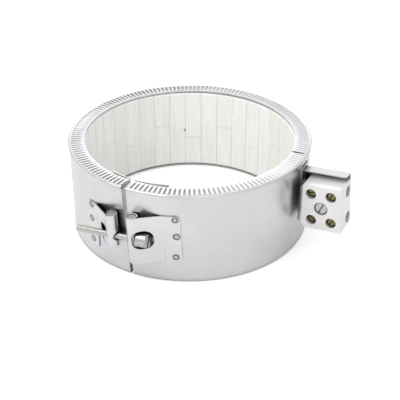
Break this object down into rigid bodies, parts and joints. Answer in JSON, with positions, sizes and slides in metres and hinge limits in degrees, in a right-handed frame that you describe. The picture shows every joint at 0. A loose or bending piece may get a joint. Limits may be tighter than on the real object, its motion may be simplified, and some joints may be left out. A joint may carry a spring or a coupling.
{
  "type": "ceramic band heater",
  "caption": "Split ring heater lined with interlocking ceramic tiles, clamped round a cylinder by a long slotted screw, with a ceramic terminal block on its side.",
  "frame": {"origin": "centre of the bore, half way up the band", "axes": "+Z along the bore; the band's gap and its clamp face -Y; the terminal block stands out along +X"},
  "size_m": [0.2648, 0.2331, 0.0871],
  "materials": {
    "jacket": "bright plated sheet",
    "end_caps": "bright plated sheet",
    "blanket": "ceramic fibre",
    "coil": "resistance alloy",
    "leads": "nickel wire",
    "bushes": "unglazed ceramic",
    "clamp_sheet": "bright plated sheet with weld marks",
    "clamp_hardware": "zinc plated",
    "terminal_sheet": "bright plated sheet",
    "terminal_ceramic": "glazed ceramic",
    "poles": "dull brass",
    "terminal_screws": "dull brass",
    "fixing": "bright plated",
    "tiles": "unglazed ceramic"
  },
  "bodies": {
    "band": {"jacket": "jacket", "end_cap_right": "end_caps", "end_cap_left": "end_caps", "insulation_blanket": "blanket", "heating_coil": "coil", "lead_wire_upper": "leads", "lead_wire_lower": "leads", "lead_bush_upper": "bushes", "lead_bush_lower": "bushes", "clamp_bracket_right": "clamp_sheet", "clamp_bracket_left": "clamp_sheet", "barrel_nut": "clamp_hardware", "barrel_bush": "clamp_hardware", "terminal_bracket": "terminal_sheet", "terminal_block": "terminal_ceramic", "connector_upper": "poles", "connector_lower": "poles", "block_screw": "fixing", "block_nut": "fixing", "tile_column_01": "tiles", "tile_column_02": "tiles", "tile_column_03": "tiles", "tile_column_04": "tiles", "tile_column_05": "tiles", "tile_column_06": "tiles", "tile_column_07": "tiles", "tile_column_08": "tiles", "tile_column_09": "tiles", "tile_column_10": "tiles", "tile_column_11": "tiles", "tile_column_12": "tiles", "tile_column_13": "tiles", "tile_column_14": "tiles", "tile_column_15": "tiles", "tile_column_16": "tiles", "tile_column_17": "tiles", "tile_column_18": "tiles", "tile_column_19": "tiles", "tile_column_20": "tiles", "tile_column_21": "tiles", "tile_column_22": "tiles", "tile_column_23": "tiles", "tile_column_24": "tiles", "tile_column_25": "tiles", "tile_column_26": "tiles", "tile_column_27": "tiles", "tile_column_28": "tiles", "tile_column_29": "tiles", "tile_column_30": "tiles", "tile_column_31": "tiles", "tile_column_32": "tiles", "tile_column_33": "tiles", "tile_column_34": "tiles", "tile_column_35": "tiles", "tile_column_36": "tiles"},
    "clamp_screw": {"clamp_screw": "clamp_hardware"},
    "terminal_screw_1": {"terminal_screw_1": "terminal_screws"},
    "terminal_screw_2": {"terminal_screw_2": "terminal_screws"},
    "terminal_screw_3": {"terminal_screw_3": "terminal_screws"},
    "terminal_screw_4": {"terminal_screw_4": "terminal_screws"}
  },
  "joints": [
    {"name": "clamp_screw_turn", "type": "hinge", "parent": "band", "child": "clamp_screw", "pos_m": [0, -0.1162, -0.0015], "axis": [0.9942, 0, 0.108], "continuous": true},
    {"name": "terminal_screw_1_turn", "type": "hinge", "parent": "band", "child": "terminal_screw_1", "pos_m": [0.12383, 0, 0.01843], "axis": [0, 1, 0], "continuous": true},
    {"name": "terminal_screw_2_turn", "type": "hinge", "parent": "band", "child": "terminal_screw_2", "pos_m": [0.14199, 0, 0.0197], "axis": [0, 1, 0], "continuous": true},
    {"name": "terminal_screw_3_turn", "type": "hinge", "parent": "band", "child": "terminal_screw_3", "pos_m": [0.12562, 0, -0.0071], "axis": [0, 1, 0], "continuous": true},
    {"name": "terminal_screw_4_turn", "type": "hinge", "parent": "band", "child": "terminal_screw_4", "pos_m": [0.14377, 0, -0.00583], "axis": [0, 1, 0], "continuous": true}
  ]
}
